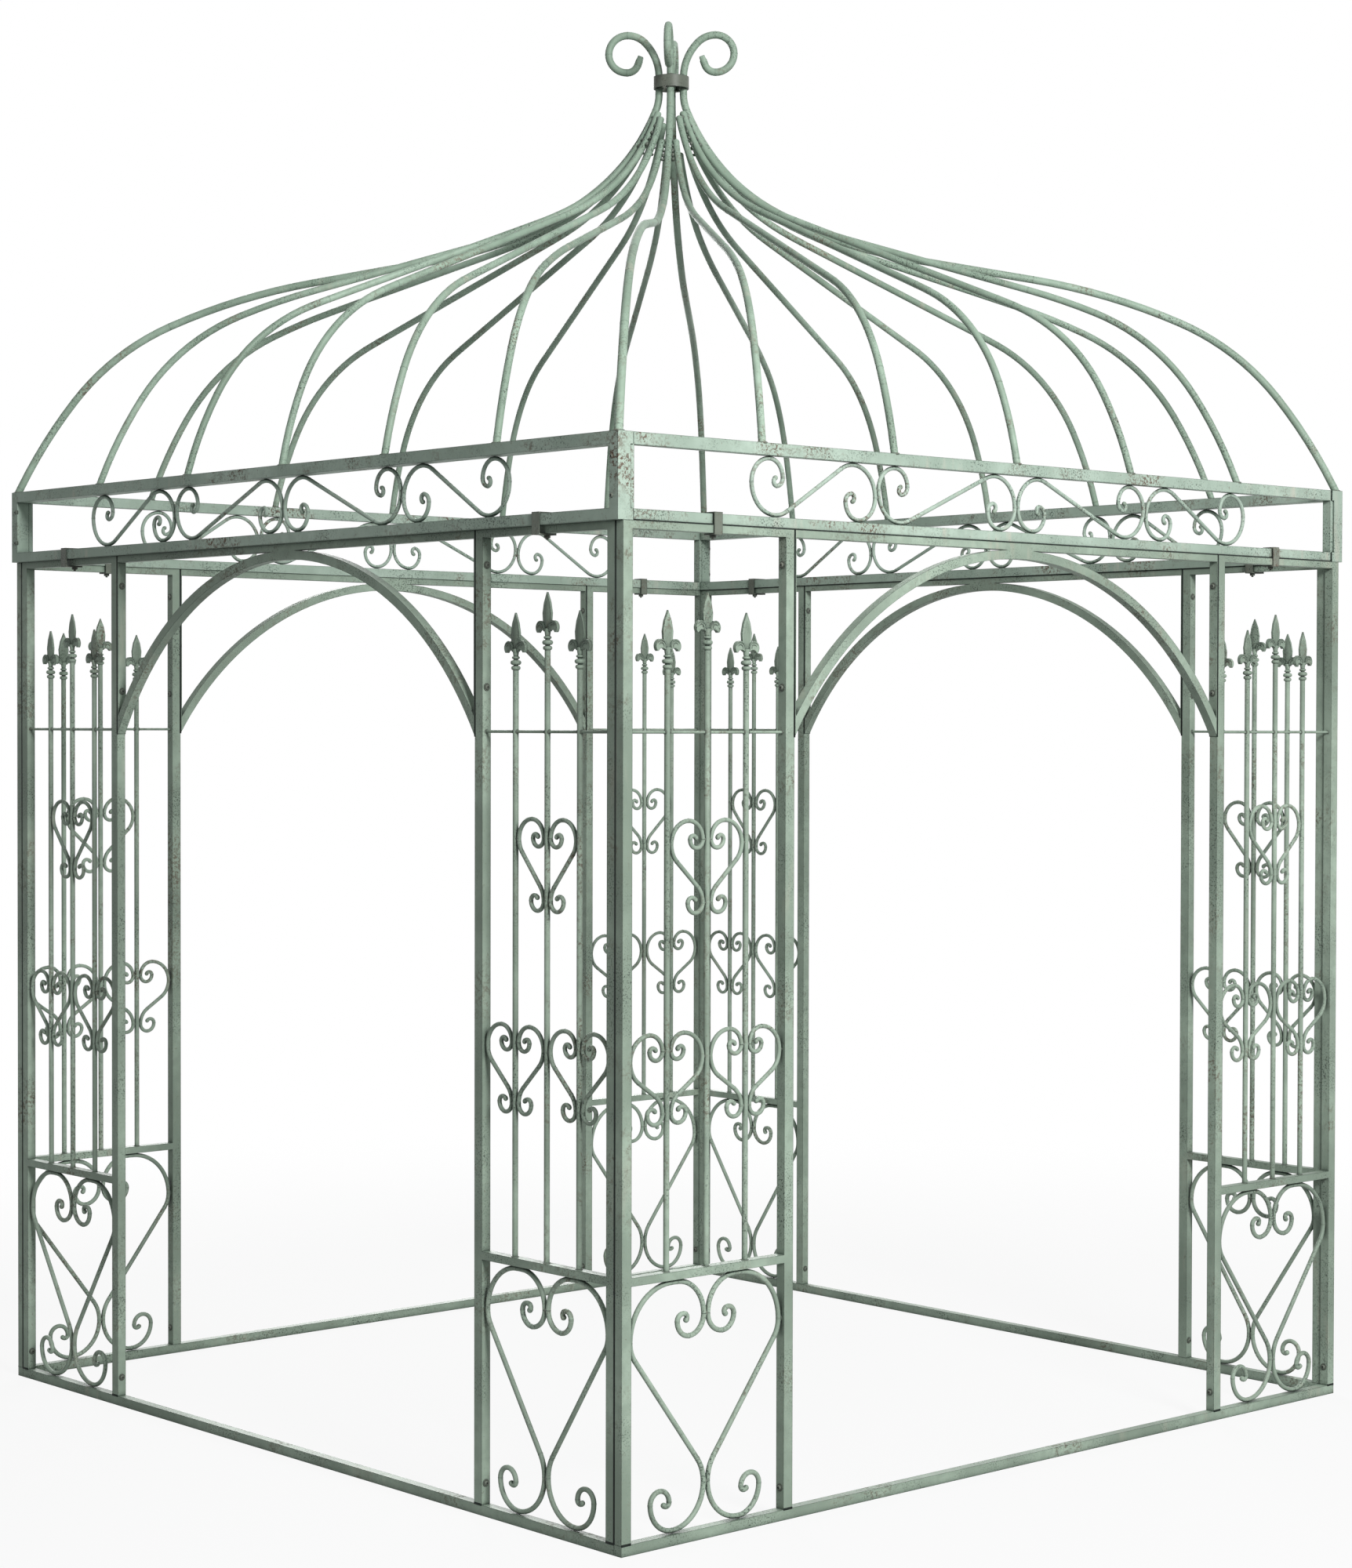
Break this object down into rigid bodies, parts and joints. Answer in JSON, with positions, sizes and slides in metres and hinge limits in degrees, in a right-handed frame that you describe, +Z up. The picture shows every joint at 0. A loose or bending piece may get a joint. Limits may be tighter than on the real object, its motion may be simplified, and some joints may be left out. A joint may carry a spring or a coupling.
{
  "type": "garden gazebo",
  "caption": "Square open ironwork gazebo with scrollwork corner bays, an arched doorway in every side, a scrolled frieze and an ogee dome of bent rods under a crown of scrolls.",
  "frame": {"origin": "middle of the footprint at ground level, bottom centre of the bounding box", "axes": "+X to the right along the front, +Y from the front to the back, +Z up"},
  "size_m": [2.3346, 2.3066, 3.327],
  "materials": {
    "patina_iron": "weathered grey-green paint with rust speckle",
    "patina_dark": "darker weathered grey-green paint"
  },
  "bodies": {
    "root": {"front_sill": "patina_iron", "back_sill": "patina_iron", "left_sill": "patina_iron", "right_sill": "patina_iron", "front_left_panel": "patina_iron", "front_right_panel": "patina_iron", "back_left_panel": "patina_iron", "back_right_panel": "patina_iron", "left_front_panel": "patina_iron", "left_back_panel": "patina_iron", "right_front_panel": "patina_iron", "right_back_panel": "patina_iron", "front_arch": "patina_iron", "back_arch": "patina_iron", "left_arch": "patina_iron", "right_arch": "patina_iron", "front_fascia": "patina_iron", "back_fascia": "patina_iron", "left_fascia": "patina_iron", "right_fascia": "patina_iron", "roof_clips": "patina_dark", "front_left_rib": "patina_iron", "front_right_rib": "patina_iron", "back_left_rib": "patina_iron", "back_right_rib": "patina_iron", "front_ribs": "patina_iron", "back_ribs": "patina_iron", "left_ribs": "patina_iron", "right_ribs": "patina_iron", "crown_collar": "patina_dark"}
  },
  "joints": []
}
